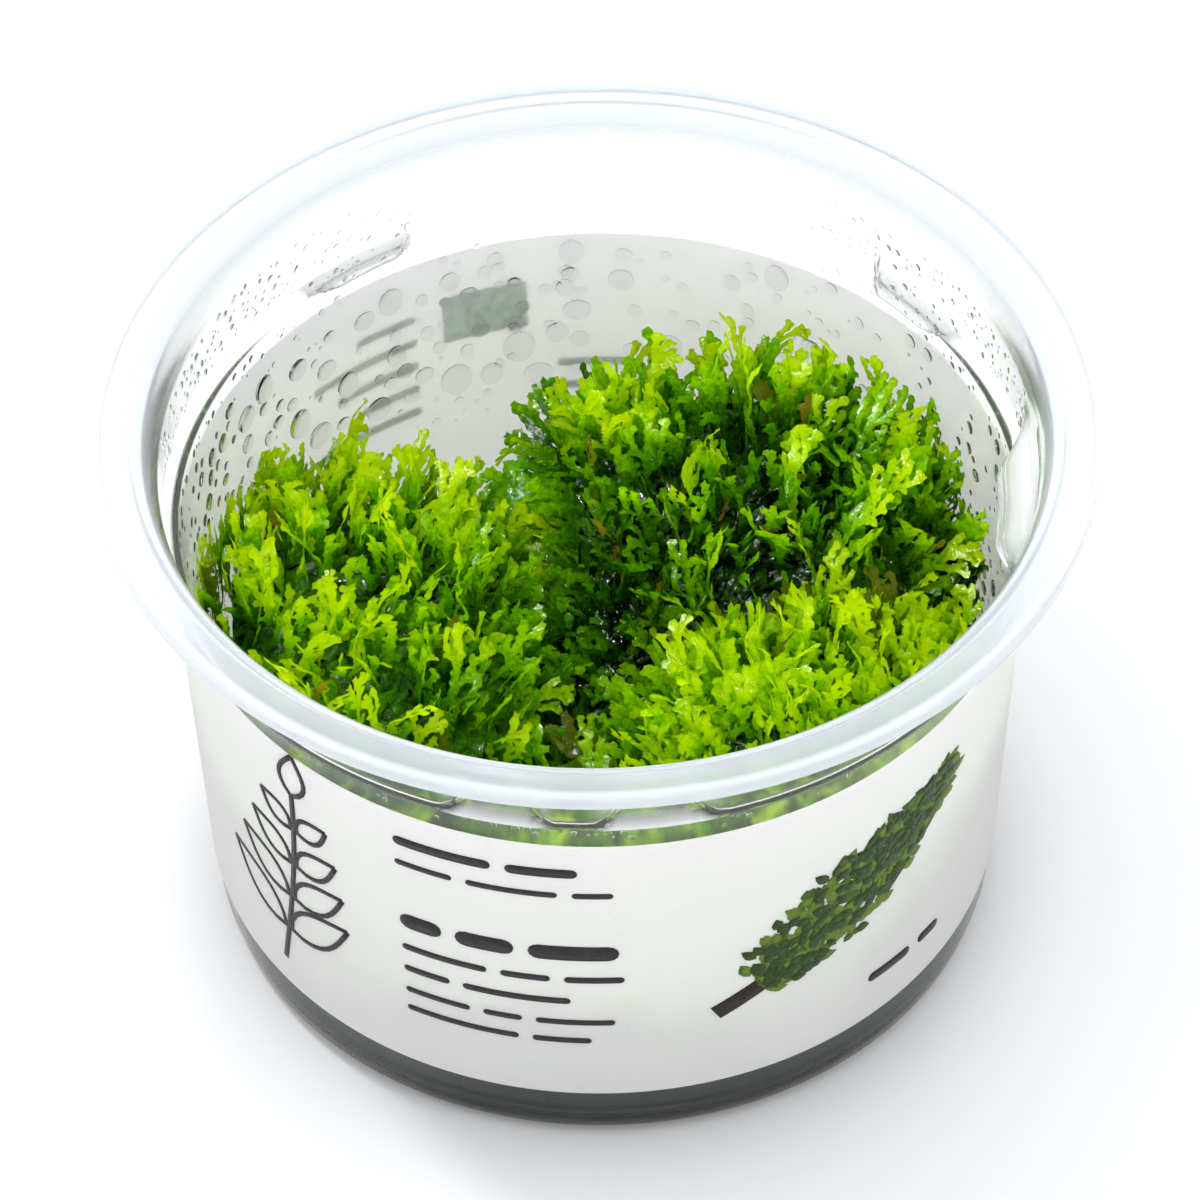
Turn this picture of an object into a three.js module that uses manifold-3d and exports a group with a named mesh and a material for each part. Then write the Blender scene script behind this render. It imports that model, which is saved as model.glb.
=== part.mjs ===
// A round clear cup of tissue-cultured liverwort. The cup has a flanged rim, a ledge with stacking lugs inside
// its neck, a tapered wall and a foot ring. A label is wrapped round the wall, nutrient gel fills the bottom,
// and four clumps of branching thallus stand on the gel.
// Millimetres, +Z up. The origin is the centre of the foot ring's underside, and -Y is the front.
import * as THREE from "three";
import { mergeVertices } from "three/addons/utils/BufferGeometryUtils.js";
import Module from "manifold-3d";

// Driving dimensions of the cup
const CUP_HEIGHT = 61.6;
const RIM_RADIUS = 50;
const LIP_HEIGHT = 1.6; // the flange's edge, from its flat top to the end of its turned-down lip
const FLANGE_THICKNESS = 0.9;
const SEAT_INNER = 46.8; // inner edge of the flat that the lid seals on
const MOUTH_RADIUS = 44.75;
const PLASTIC = 0.9; // wall thickness
const WALL_AT_LEDGE = 42.7; // outer radius right under the ledge
const WALL_AT_CORNER = 39.9; // outer radius where the bottom corner starts
const NECK_BOTTOM = 44.1; // outer radius right above the ledge
const NECK_TOP = 44.5;
const NECK_TOP_HEIGHT = 57;
const LEDGE_HEIGHT = 49.5;
const LEDGE_RISE = 1.1;
const CORNER_TOP = 7.5;
const FLOOR_HEIGHT = 2;
const FOOT_OUTER = 36.6;
const FOOT_INNER = 33.4;
const FOOT_RECESS = 0.9;
const SEGMENTS = 72;

// Stacking lugs, pressed into the neck from outside. Bearings are in degrees from the front, towards +X.
const LUGS = [
  { bearing: -14, half: 7 },
  { bearing: 7, half: 8 },
  { bearing: 87, half: 14 },
  { bearing: 130, half: 9 },
  { bearing: -145, half: 10 },
];
const LUG_DEPTH = 3.2;
const LUG_TOP = 56;

// Label, gel and the gap that pieces keep
const GAP = 0.3;
const LABEL_GAP = 0.1;
const LABEL_BOTTOM = 7.7;
const LABEL_TOP = 46.8;
const LABEL_THICKNESS = 0.2;
const LABEL_SEAM = 120; // where one end of the label laps over the other, in degrees from the front
const LABEL_LAP = 11;
const GEL_TOP = 8.4;
const CLUMP_BASE = GEL_TOP + GAP;
const GEL_SEGMENTS = 48;

// Each clump is a mound of matted thallus with upright fronds. Its wedge of the cup runs between two
// bearings, in degrees anticlockwise from +X, seen from the hollow where the four wedges meet.
const HOLLOW = new THREE.Vector2(1, 4);
const CLUMPS = [
  { name: "clump_left", at: [-18.5, 3], radius: [22, 29], top: 31, wedge: [101, 238], fronds: 20, seed: 11 },
  { name: "clump_back", at: [14, 19], radius: [25, 20], top: 38, wedge: [8, 101], fronds: 20, seed: 23 },
  { name: "clump_right", at: [21, -9], radius: [20, 18], top: 27, wedge: [-78, 8], fronds: 13, seed: 37 },
  { name: "clump_front", at: [-3, -23], radius: [16, 17], top: 19, wedge: [238, 282], fronds: 8, seed: 41 },
];
const FROND_LENGTH = 12; // how far an average frond stands out of its mound
const FROND_ROOT = 4; // how far it is sunk in the mound
const FROND_WIDTH = 8;
const FROND_THICKNESS = 1.7;

const wasm = await Module();
wasm.setup();

// Materials
const clearPlastic = new THREE.MeshStandardMaterial({ color: 0xeef2f4, roughness: 0.12 });
clearPlastic.transparent = true;
clearPlastic.opacity = 0.35;
const whiteLabel = new THREE.MeshStandardMaterial({ color: 0xf2f2f4, roughness: 0.45 });
const paleGel = new THREE.MeshStandardMaterial({ color: 0x5c6f5e, roughness: 0.2 });
const thallusGreens = [0x6fb01a, 0x58a012, 0x86b818, 0x4f8f18].map(
  (color) => new THREE.MeshStandardMaterial({ color, roughness: 0.4 }),
);

// Repeatable random numbers from 0 to 1
function randomFrom(seed) {
  let state = seed;
  return () => {
    state = (state * 1664525 + 1013904223) % 4294967296;
    return state / 4294967296;
  };
}

// Outer radius of the tapered wall under the ledge
function wallOuter(height) {
  const share = (height - CORNER_TOP) / (LEDGE_HEIGHT - CORNER_TOP);
  return THREE.MathUtils.lerp(WALL_AT_CORNER, WALL_AT_LEDGE, share);
}

function wallInner(height) {
  return wallOuter(height) - PLASTIC;
}

// A profile turned about the Z axis. The turn starts at the front and runs towards +X.
function turned(profile, segments = SEGMENTS) {
  return new THREE.LatheGeometry(profile, segments).rotateX(Math.PI / 2);
}

// Moves each vertex in or out: change() gives the step from its radius, bearing from the front and height
function reshaped(geometry, change) {
  const position = geometry.getAttribute("position");
  for (let i = 0; i < position.count; i++) {
    const x = position.getX(i);
    const y = position.getY(i);
    const radius = Math.hypot(x, y);
    if (radius < 1) continue;
    const bearing = THREE.MathUtils.radToDeg(Math.atan2(x, -y));
    const scale = 1 + change(radius, bearing, position.getZ(i)) / radius;
    position.setXY(i, x * scale, y * scale);
  }
  return geometry;
}

function toSolid(geometry) {
  const bare = geometry.clone();
  bare.deleteAttribute("normal");
  bare.deleteAttribute("uv");
  const merged = mergeVertices(bare, 1e-4);
  return new wasm.Manifold(
    new wasm.Mesh({
      numProp: 3,
      vertProperties: merged.getAttribute("position").array,
      triVerts: new Uint32Array(merged.index.array),
    }),
  );
}

function toGeometry(solid) {
  const mesh = solid.getMesh();
  const geometry = new THREE.BufferGeometry();
  geometry.setAttribute("position", new THREE.BufferAttribute(mesh.vertProperties, 3));
  geometry.setIndex(new THREE.BufferAttribute(mesh.triVerts, 1));
  return geometry;
}

// The cup's section: from the axis under the floor, up the outside, over the rim and down the inside
function cupProfile() {
  const neckBottomHeight = LEDGE_HEIGHT + LEDGE_RISE;
  const flangeUnder = CUP_HEIGHT - FLANGE_THICKNESS;
  const lipInner = RIM_RADIUS - PLASTIC;
  const lipEnd = CUP_HEIGHT - LIP_HEIGHT;
  const shoulder = CUP_HEIGHT - 1.2;
  const path = new THREE.Path();
  path.moveTo(0, FOOT_RECESS);
  path.lineTo(FOOT_INNER - FOOT_RECESS, FOOT_RECESS);
  path.lineTo(FOOT_INNER, 0);
  path.lineTo(FOOT_OUTER, 0);
  path.quadraticCurveTo(WALL_AT_CORNER - 0.4, 0.4, WALL_AT_CORNER, CORNER_TOP);
  path.lineTo(WALL_AT_LEDGE, LEDGE_HEIGHT);
  path.lineTo(NECK_BOTTOM, neckBottomHeight);
  path.lineTo(NECK_TOP, LUG_TOP);
  path.lineTo(NECK_TOP, NECK_TOP_HEIGHT);
  path.lineTo(MOUTH_RADIUS + PLASTIC / 2, flangeUnder);
  path.lineTo(lipInner, flangeUnder);
  path.lineTo(lipInner, lipEnd);
  path.lineTo(RIM_RADIUS, lipEnd);
  path.lineTo(RIM_RADIUS, CUP_HEIGHT - 0.4);
  path.lineTo(RIM_RADIUS - 0.4, CUP_HEIGHT);
  path.lineTo(SEAT_INNER, CUP_HEIGHT);
  path.lineTo(SEAT_INNER - 0.4, CUP_HEIGHT - 0.4);
  path.lineTo(SEAT_INNER - 0.9, CUP_HEIGHT - 0.1);
  path.lineTo(MOUTH_RADIUS, shoulder);
  path.lineTo(NECK_TOP - PLASTIC, NECK_TOP_HEIGHT);
  path.lineTo(NECK_TOP - PLASTIC, LUG_TOP);
  path.lineTo(NECK_BOTTOM - PLASTIC, neckBottomHeight + PLASTIC / 2);
  path.lineTo(wallInner(LEDGE_HEIGHT), LEDGE_HEIGHT + PLASTIC / 2);
  path.lineTo(wallInner(CORNER_TOP), CORNER_TOP);
  path.quadraticCurveTo(wallInner(CORNER_TOP) - 0.4, FLOOR_HEIGHT, FOOT_OUTER - 1, FLOOR_HEIGHT);
  path.lineTo(0, FLOOR_HEIGHT);
  return path.getPoints(3);
}

// How far the neck is pressed in at a bearing and a height
function lugStep(radius, bearing, height) {
  if (height < LEDGE_HEIGHT + LEDGE_RISE - 0.1 || height > LUG_TOP - 0.1) return 0;
  let share = 0;
  for (const lug of LUGS) {
    const away = Math.abs(bearing - lug.bearing) / lug.half;
    share = Math.max(share, 1 - THREE.MathUtils.smoothstep(away, 0.45, 1.1));
  }
  return -LUG_DEPTH * share;
}

function makeCup() {
  return reshaped(turned(cupProfile()), lugStep);
}

// A band that follows the wall's taper. Its outer end laps over the inner one at the seam.
function makeLabel() {
  const inner = (height) => wallOuter(height) + LABEL_GAP;
  const corners = [
    [inner(LABEL_BOTTOM), LABEL_BOTTOM],
    [inner(LABEL_BOTTOM) + LABEL_THICKNESS, LABEL_BOTTOM],
    [inner(LABEL_TOP) + LABEL_THICKNESS, LABEL_TOP],
    [inner(LABEL_TOP), LABEL_TOP],
    [inner(LABEL_BOTTOM), LABEL_BOTTOM],
  ];
  const band = turned(corners.map(([radius, height]) => new THREE.Vector2(radius, height)));
  return reshaped(band, (radius, bearing, height) => {
    const outside = radius > inner(height) + LABEL_THICKNESS / 2;
    const lapped = bearing > LABEL_SEAM && bearing < LABEL_SEAM + LABEL_LAP;
    return outside && lapped ? LABEL_THICKNESS : 0;
  });
}

// The gel takes the cup's inner shape up to its level top
function makeGel() {
  const bottom = FLOOR_HEIGHT + GAP;
  const path = new THREE.Path();
  path.moveTo(0, bottom);
  path.lineTo(FOOT_OUTER - 1.4, bottom);
  path.quadraticCurveTo(wallInner(CORNER_TOP) - 1.2, bottom, wallInner(CORNER_TOP) - GAP, CORNER_TOP);
  path.lineTo(wallInner(GEL_TOP) - GAP, GEL_TOP);
  path.lineTo(0, GEL_TOP);
  return turned(path.getPoints(2), GEL_SEGMENTS);
}

// The space above the gel, a gap inside the wall, the ledge and the lugs
function cavity() {
  const neck = NECK_BOTTOM - PLASTIC - LUG_DEPTH - 2 * GAP;
  return toSolid(
    turned([
      new THREE.Vector2(0, CLUMP_BASE),
      new THREE.Vector2(wallInner(CLUMP_BASE) - 2 * GAP, CLUMP_BASE),
      new THREE.Vector2(wallInner(LEDGE_HEIGHT - 2) - 2 * GAP, LEDGE_HEIGHT - 2),
      new THREE.Vector2(neck, LEDGE_HEIGHT),
      new THREE.Vector2(neck, NECK_TOP_HEIGHT),
      new THREE.Vector2(0, NECK_TOP_HEIGHT),
    ]),
  );
}

// The upright prism over one wedge of the cup, moved off its neighbours by half a gap on each side
function wedgePrism([from, to]) {
  const reach = 2 * RIM_RADIUS;
  const [start, end] = [from, to].map(THREE.MathUtils.degToRad);
  const middle = (start + end) / 2;
  const shape = new THREE.Shape();
  shape.moveTo(0, 0);
  for (const bearing of [start, middle, end]) {
    shape.lineTo(reach * Math.cos(bearing), reach * Math.sin(bearing));
  }
  const back = (0.6 * GAP) / Math.sin((end - start) / 2);
  const geometry = new THREE.ExtrudeGeometry(shape, { depth: CUP_HEIGHT, bevelEnabled: false });
  geometry.translate(HOLLOW.x + back * Math.cos(middle), HOLLOW.y + back * Math.sin(middle), 0);
  return toSolid(geometry);
}

// A strap with a lobe on each side and a notched tip, along +Y from its root
function frond(length, width) {
  const shape = new THREE.Shape();
  shape.moveTo(-0.22 * width, 0);
  shape.lineTo(0.22 * width, 0);
  shape.lineTo(0.5 * width, 0.55 * length);
  shape.lineTo(0.27 * width, 0.66 * length);
  shape.lineTo(0.44 * width, 0.95 * length);
  shape.lineTo(0.04 * width, 0.86 * length);
  shape.lineTo(-0.26 * width, length);
  shape.lineTo(-0.27 * width, 0.7 * length);
  shape.lineTo(-0.5 * width, 0.6 * length);
  const geometry = new THREE.ExtrudeGeometry(shape, { depth: FROND_THICKNESS, bevelEnabled: false });
  return geometry.translate(0, 0, -FROND_THICKNESS / 2);
}

// A point of a mound from its direction on the unit sphere. The mound is flatter on top than a ball.
function onMound({ at, radius, top }, direction) {
  const rise = Math.sign(direction.z) * Math.abs(direction.z) ** 0.6;
  return new THREE.Vector3(
    at[0] + radius[0] * direction.x,
    at[1] + radius[1] * direction.y,
    CLUMP_BASE + (top - CLUMP_BASE) * rise,
  );
}

// The matted mound, uneven, and running on below the clump's base, where it is cut off
function mound(clump, random) {
  const geometry = new THREE.IcosahedronGeometry(1, 3);
  const position = geometry.getAttribute("position");
  const phases = Array.from({ length: 3 }, () => random() * 2 * Math.PI);
  for (let i = 0; i < position.count; i++) {
    const direction = new THREE.Vector3().fromBufferAttribute(position, i);
    const waves =
      Math.sin(5 * direction.x + phases[0]) +
      Math.sin(5 * direction.y + phases[1]) +
      Math.sin(6 * direction.z + phases[2]);
    const point = onMound(clump, direction.multiplyScalar(1 + 0.03 * waves));
    position.setXYZ(i, point.x, point.y, point.z);
  }
  return toSolid(geometry);
}

// Fronds spread evenly over the mound by the golden angle, upright and splayed a little
function plantedFronds(clump, random) {
  const golden = Math.PI * (3 - Math.sqrt(5));
  return Array.from({ length: clump.fronds }, (_, i) => {
    const away = Math.sqrt((i + 0.5) / clump.fronds) * 0.95;
    const direction = new THREE.Vector3(
      away * Math.cos(i * golden),
      away * Math.sin(i * golden),
      Math.sqrt(1 - away * away),
    );
    const lean = new THREE.Vector3(0.55 * direction.x, 0.55 * direction.y, 0.8).normalize();
    const aim = new THREE.Quaternion().setFromUnitVectors(new THREE.Vector3(0, 1, 0), lean);
    const twist = new THREE.Quaternion().setFromAxisAngle(lean, random() * Math.PI);
    const root = onMound(clump, direction).addScaledVector(lean, -FROND_ROOT);
    const placed = new THREE.Matrix4().compose(root, twist.multiply(aim), new THREE.Vector3(1, 1, 1));
    const length = FROND_LENGTH * (0.8 + 0.4 * random()) + FROND_ROOT;
    const width = FROND_WIDTH * (0.8 + 0.4 * random());
    return toSolid(frond(length, width).applyMatrix4(placed));
  });
}

function makeClump(clump, inside) {
  const random = randomFrom(clump.seed);
  let solid = mound(clump, random);
  for (const one of plantedFronds(clump, random)) solid = solid.add(one);
  solid = solid.intersect(inside).intersect(wedgePrism(clump.wedge));
  const whole = solid.decompose().sort((a, b) => b.volume() - a.volume())[0];
  return toGeometry(whole);
}

function named(name, geometry, material) {
  const mesh = new THREE.Mesh(geometry, material);
  mesh.name = name;
  return mesh;
}

const culture = new THREE.Group();
culture.add(named("cup", makeCup(), clearPlastic));
culture.add(named("label", makeLabel(), whiteLabel));
culture.add(named("nutrient_gel", makeGel(), paleGel));
const inside = cavity();
CLUMPS.forEach((clump, i) => {
  culture.add(named(clump.name, makeClump(clump, inside), thallusGreens[i]));
});

export default culture;
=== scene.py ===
"""A clear cup of tissue-cultured liverwort: fine cup, printed label, gel, thalli and condensation."""
import math

import bpy
import numpy as np
from mathutils import Matrix, Vector, geometry


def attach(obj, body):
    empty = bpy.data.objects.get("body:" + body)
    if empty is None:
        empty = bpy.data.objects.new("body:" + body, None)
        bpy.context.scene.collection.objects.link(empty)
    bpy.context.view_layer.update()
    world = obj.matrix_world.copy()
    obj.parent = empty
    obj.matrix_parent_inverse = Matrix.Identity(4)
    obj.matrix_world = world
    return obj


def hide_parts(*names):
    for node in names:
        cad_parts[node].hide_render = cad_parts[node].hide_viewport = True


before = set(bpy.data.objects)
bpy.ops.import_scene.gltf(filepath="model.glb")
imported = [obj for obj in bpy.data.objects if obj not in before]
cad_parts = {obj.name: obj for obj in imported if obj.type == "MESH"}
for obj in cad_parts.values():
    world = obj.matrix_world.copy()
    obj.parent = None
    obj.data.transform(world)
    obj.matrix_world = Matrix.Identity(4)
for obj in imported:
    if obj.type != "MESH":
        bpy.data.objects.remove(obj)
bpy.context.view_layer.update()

MM = 0.001

# The cup, in millimetres, as in the CAD model
CUP_HEIGHT = 61.6
RIM_RADIUS = 50
LIP_HEIGHT = 1.6
FLANGE_THICKNESS = 0.9
SEAT_INNER = 46.8
MOUTH_RADIUS = 44.75
PLASTIC = 0.9
WALL_AT_LEDGE = 42.7
WALL_AT_CORNER = 39.9
NECK_BOTTOM = 44.1
NECK_TOP = 44.5
NECK_TOP_HEIGHT = 57
LEDGE_HEIGHT = 49.5
LEDGE_RISE = 1.1
NECK_BOTTOM_HEIGHT = LEDGE_HEIGHT + LEDGE_RISE
CORNER_TOP = 7.5
FLOOR_HEIGHT = 2
FOOT_OUTER = 36.6
FOOT_INNER = 33.4
FOOT_RECESS = 0.9
LUGS = [(-14, 7), (7, 8), (87, 14), (130, 9), (-145, 10)]  # bearing and half width, in degrees
LUG_DEPTH = 3.2
LUG_SIDES = (0.45, 0.65)  # where a lug's side starts and how wide it is, as shares of its half width
LUG_FOOT = NECK_BOTTOM_HEIGHT + PLASTIC
LUG_TOP = 56
LABEL_GAP = 0.1
LABEL_BOTTOM = 7.7
LABEL_TOP = 46.8
LABEL_THICKNESS = 0.2
LABEL_SEAM = 120
LABEL_LAP = 11
GEL_TOP = 8.4
CLUMP_BASE = 8.7
SEGMENTS = 288

# The camera of the photograph. The last two say how far from the middle of the mouth it looks.
IMAGE_PIXELS = 1200
SENSOR = 36
CAMERA_DISTANCE = 1000
PIXELS_PER_MM = 10.142
ELEVATION = math.radians(46.246)
ROLL = math.radians(-0.981)
CAMERA_RIGHT = 0.292
CAMERA_UP = -17.131


def wall_outer(height):
    share = (height - CORNER_TOP) / (LEDGE_HEIGHT - CORNER_TOP)
    return WALL_AT_CORNER + share * (WALL_AT_LEDGE - WALL_AT_CORNER)


def wall_inner(height):
    return wall_outer(height) - PLASTIC


def smoothstep(x):
    x = np.clip(x, 0, 1)
    return x * x * (3 - 2 * x)


# Camera

def add_camera():
    back = Vector((0, -math.cos(ELEVATION), math.sin(ELEVATION)))
    right = Vector((1, 0, 0))
    up = back.cross(right)
    rolled_right = right * math.cos(ROLL) + up * math.sin(ROLL)
    rolled_up = up * math.cos(ROLL) - right * math.sin(ROLL)
    mouth = Vector((0, 0, CUP_HEIGHT))
    place = mouth + back * CAMERA_DISTANCE + rolled_right * CAMERA_RIGHT + rolled_up * CAMERA_UP
    data = bpy.data.cameras.new("camera")
    data.sensor_width = SENSOR
    data.lens = PIXELS_PER_MM * CAMERA_DISTANCE / IMAGE_PIXELS * SENSOR
    data.clip_start = 0.05
    data.clip_end = 20
    camera = bpy.data.objects.new("camera", data)
    turn = Matrix((rolled_right, rolled_up, back)).transposed().to_4x4()
    camera.matrix_world = Matrix.Translation(place * MM) @ turn
    bpy.context.scene.collection.objects.link(camera)
    bpy.context.scene.camera = camera


# Light and floor

LIGHTS_AIM = (0, 0, 0.03)
SKY_COLOR = (0.98, 0.988, 1, 1)
SKY_STRENGTH = 1.38
FLOOR_HALF = 4


def add_softbox(name, place, size, watts, glints_only=False):
    """A square light, in metres and watts. One for glints only lights no matt or see-through surface."""
    data = bpy.data.lights.new(name, "AREA")
    data.shape = "SQUARE"
    data.size = size
    data.energy = watts
    data.cycles.use_multiple_importance_sampling = glints_only
    light = bpy.data.objects.new(name, data)
    light.location = place
    light.rotation_euler = (Vector(LIGHTS_AIM) - Vector(place)).to_track_quat("-Z", "Y").to_euler()
    if glints_only:
        light.visible_diffuse = False
        light.visible_transmission = False
    bpy.context.scene.collection.objects.link(light)
    return light


def add_studio():
    """A white sky, a pale floor and two soft lights."""
    bpy.context.scene.cycles.use_light_tree = False
    world = bpy.data.worlds.new("studio")
    world.use_nodes = True
    world.node_tree.nodes["Background"].inputs["Color"].default_value = SKY_COLOR
    world.node_tree.nodes["Background"].inputs["Strength"].default_value = SKY_STRENGTH
    bpy.context.scene.world = world
    bpy.context.scene.view_settings.view_transform = "Standard"
    add_softbox("key", (-0.4, 0.15, 0.95), 0.1, 3)
    add_softbox("back", (0.25, 1.0, 0.6), 0.9, 3)

    mesh = bpy.data.meshes.new("floor")
    corners = [(x * FLOOR_HALF, y * FLOOR_HALF, 0) for x, y in ((-1, -1), (1, -1), (1, 1), (-1, 1))]
    mesh.from_pydata(corners, [], [(0, 1, 2, 3)])
    floor = bpy.data.objects.new("floor", mesh)
    bpy.context.scene.collection.objects.link(floor)
    mesh.materials.append(plain_material("floor_white", (0.76, 0.76, 0.765), 0.9))


def add_glints(pieces):
    """A strong light that only the given pieces receive, and that shows only in their wet shine."""
    light = add_softbox("glints", (-0.35, -0.5, 0.85), 0.36, 330, True)
    wet = bpy.data.collections.new("wet")
    for piece in pieces:
        wet.objects.link(piece)
    light.light_linking.receiver_collection = wet


# Materials

def plain_material(name, color, roughness):
    material = bpy.data.materials.new(name)
    material.use_nodes = True
    shader = material.node_tree.nodes["Principled BSDF"]
    shader.inputs["Base Color"].default_value = (*color, 1)
    shader.inputs["Roughness"].default_value = roughness
    return material


def node_tools(material):
    """Two functions for a material's nodes, and its Principled shader.

    feed sets or links a node's inputs, and add makes a node with its inputs and settings.
    """
    tree = material.node_tree

    def feed(node, inputs):
        for key, value in inputs.items():
            if isinstance(value, bpy.types.NodeSocket):
                tree.links.new(value, node.inputs[key])
            else:
                node.inputs[key].default_value = value

    def add(kind, inputs=None, **settings):
        node = tree.nodes.new(kind)
        for key, value in settings.items():
            setattr(node, key, value)
        feed(node, inputs or {})
        return node

    return add, feed, tree.nodes["Principled BSDF"]


def object_place(add):
    return add("ShaderNodeTexCoord").outputs["Object"]


def noise(add, place, scale, detail=2, roughness=0.5):
    inputs = {"Vector": place, "Scale": scale, "Detail": detail, "Roughness": roughness}
    return add("ShaderNodeTexNoise", inputs).outputs["Fac"]


def bumps(add, height, strength, distance):
    """A normal that follows a height. The distance is in metres."""
    inputs = {"Height": height, "Strength": strength, "Distance": distance}
    return add("ShaderNodeBump", inputs).outputs["Normal"]


def fade(add, value, start, end, low=0, high=1):
    """A value that runs from low to high while another runs from start to end."""
    inputs = {"Value": value, 1: start, 2: end, 3: low, 4: high}
    return add("ShaderNodeMapRange", inputs).outputs["Result"]


def reckon(add, operation, *values):
    return add("ShaderNodeMath", dict(enumerate(values)), operation=operation).outputs[0]


def blend(add, kind, share, first, second):
    """Two colours, mixed or multiplied."""
    inputs = {"Factor": share, "A": first, "B": second}
    return add("ShaderNodeMix", inputs, data_type="RGBA", blend_type=kind).outputs["Result"]


def ramp(add, factor, stops):
    node = add("ShaderNodeValToRGB", {"Fac": factor})
    elements = node.color_ramp.elements
    while len(elements) < len(stops):
        elements.new(0.5)
    for element, (position, color) in zip(elements, stops):
        element.position = position
        element.color = (*color, 1)
    return node.outputs["Color"]


def let_light_through(material, color, share):
    """Gives a share of a material's surface to light that passes through it in a colour."""
    add, feed, shader = node_tools(material)
    through = add("ShaderNodeBsdfTranslucent", {"Color": color})
    mix = add("ShaderNodeMixShader", {"Fac": share, 1: shader.outputs["BSDF"], 2: through.outputs["BSDF"]})
    feed(material.node_tree.nodes["Material Output"], {"Surface": mix.outputs["Shader"]})


MILKY_HEIGHTS = (0.057, 0.0605)  # where the plastic turns milky, in metres
MILKY_LIP_RADII = (0.0488, 0.0494)
GLOSSY_HEIGHTS = (0.007, 0.009)
TINTED_HEIGHTS = (0, 0.0625)
# Painted light in the plastic's tint: painted shade darkens the foot and greys the flange, and a painted
# reflection of the plants' green lies between
PLASTIC_TINTS_AND_SHADE = [  # by share of the tinted heights
    (0.04, (0.5, 0.57, 0.53)),
    (0.12, (0.93, 0.95, 0.94)),
    (0.16, (0.945, 0.972, 0.895)),
    (0.55, (0.952, 0.973, 0.925)),
    (0.75, (0.968, 0.977, 0.978)),
    (0.92, (0.968, 0.977, 0.982)),
    (0.96, (0.785, 0.822, 0.865)),
]


def clear_plastic():
    """Clear plastic with fine flow waves, milky in the flange and its lip. Its tint holds painted shade and
    a painted green reflection; a painted highlight whitens the near lugs.
    """
    material = plain_material("clear_plastic", (0.965, 0.975, 0.98), 0.1)
    add, feed, shader = node_tools(material)
    place = object_place(add)
    height = add("ShaderNodeSeparateXYZ", {"Vector": place}).outputs["Z"]
    level = add("ShaderNodeVectorMath", {0: place, 1: (1, 1, 0)}, operation="MULTIPLY").outputs["Vector"]
    radius = add("ShaderNodeVectorMath", {0: level}, operation="LENGTH").outputs["Value"]
    clear = fade(add, height, *MILKY_HEIGHTS, 0.985, 0.68)
    milky_lip = fade(add, radius, *MILKY_LIP_RADII, 0, -0.3)
    share = reckon(add, "ADD", clear, milky_lip)
    # painted highlight: the near lugs and the ledge turn milky white where they catch the light
    painted_highlight = add("ShaderNodeAttribute", attribute_name="painted_highlight").outputs["Fac"]
    feed(shader, {
        "IOR": 1.36,
        "Transmission Weight": reckon(add, "MULTIPLY_ADD", painted_highlight, -0.55, share),
        # painted shade at the foot and flange, and a painted green reflection, by height
        "Base Color": ramp(add, fade(add, height, *TINTED_HEIGHTS), PLASTIC_TINTS_AND_SHADE),
        "Specular IOR Level": fade(add, height, *GLOSSY_HEIGHTS, 0.06, 0.5),
        "Normal": bumps(add, noise(add, place, 90), 0.05, 0.0004),
    })
    return material


def label_film():
    """White film that lets light through, with a fine dotted tooth."""
    material = plain_material("label_film", (0.9, 0.9, 0.9), 0.4)
    add, feed, shader = node_tools(material)
    dots = add("ShaderNodeTexVoronoi", {"Vector": object_place(add), "Scale": 900}).outputs["Distance"]
    grain = ramp(add, dots, [(0.06, (0.76, 0.76, 0.77)), (0.16, (0.96, 0.96, 0.96))])
    feed(shader, {"Base Color": grain, "Specular IOR Level": 0.08})
    let_light_through(material, (0.98, 0.97, 0.97, 1), 0.62)
    return material


def ink(name, color, through=0.15):
    """Printed ink, slightly uneven in tone, that lets a share of the light through."""
    material = plain_material(name, color, 0.38)
    add, feed, shader = node_tools(material)
    low = tuple(0.8 * c for c in color)
    high = tuple(min(1, 1.2 * c + 0.004) for c in color)
    tone = ramp(add, noise(add, object_place(add), 1400, 3), [(0.3, low), (0.7, high)])
    feed(shader, {"Base Color": tone, "Specular IOR Level": 0.2})
    let_light_through(material, tone, through)
    return material


def painted_shade_gel():
    """Cloudy grey-green jelly, painted dark as the shade that it lies in."""
    material = plain_material("gel", (0.06, 0.085, 0.07), 0.12)
    add, feed, shader = node_tools(material)
    tones = [(0.3, (0.007, 0.018, 0.011)), (0.7, (0.018, 0.036, 0.025))]
    feed(shader, {"Base Color": ramp(add, noise(add, object_place(add), 60, 4), tones)})
    return material


def water():
    material = plain_material("water", (0.98, 0.99, 0.99), 0.0)
    add, feed, shader = node_tools(material)
    ripples = bumps(add, noise(add, object_place(add), 300), 0.03, 0.0002)
    feed(shader, {"IOR": 1.3, "Transmission Weight": 1, "Normal": ripples})
    return material


THALLUS_GREENS = [
    (0.12, (0.003, 0.02, 0.0005)),
    (0.34, (0.022, 0.11, 0.0005)),
    (0.56, (0.1, 0.35, 0.001)),
    (0.78, (0.32, 0.68, 0.001)),
    (0.97, (0.64, 0.87, 0.003)),
]
SHADE_START = -0.47  # what a clump's lightness and the parts below are added to
PATCH_PART = 0.6
OWN_PART = 0.34
RISE_PART = 0.88
CELL_PART = 0.5
OLIVE_FROM = 0.978  # fronds whose own shade is above this are olive
AMBER_FROM = 0.993  # and above this amber
OLIVE = (0.17, 0.2, 0.008, 1)
AMBER = (0.4, 0.32, 0.02, 1)


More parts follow.
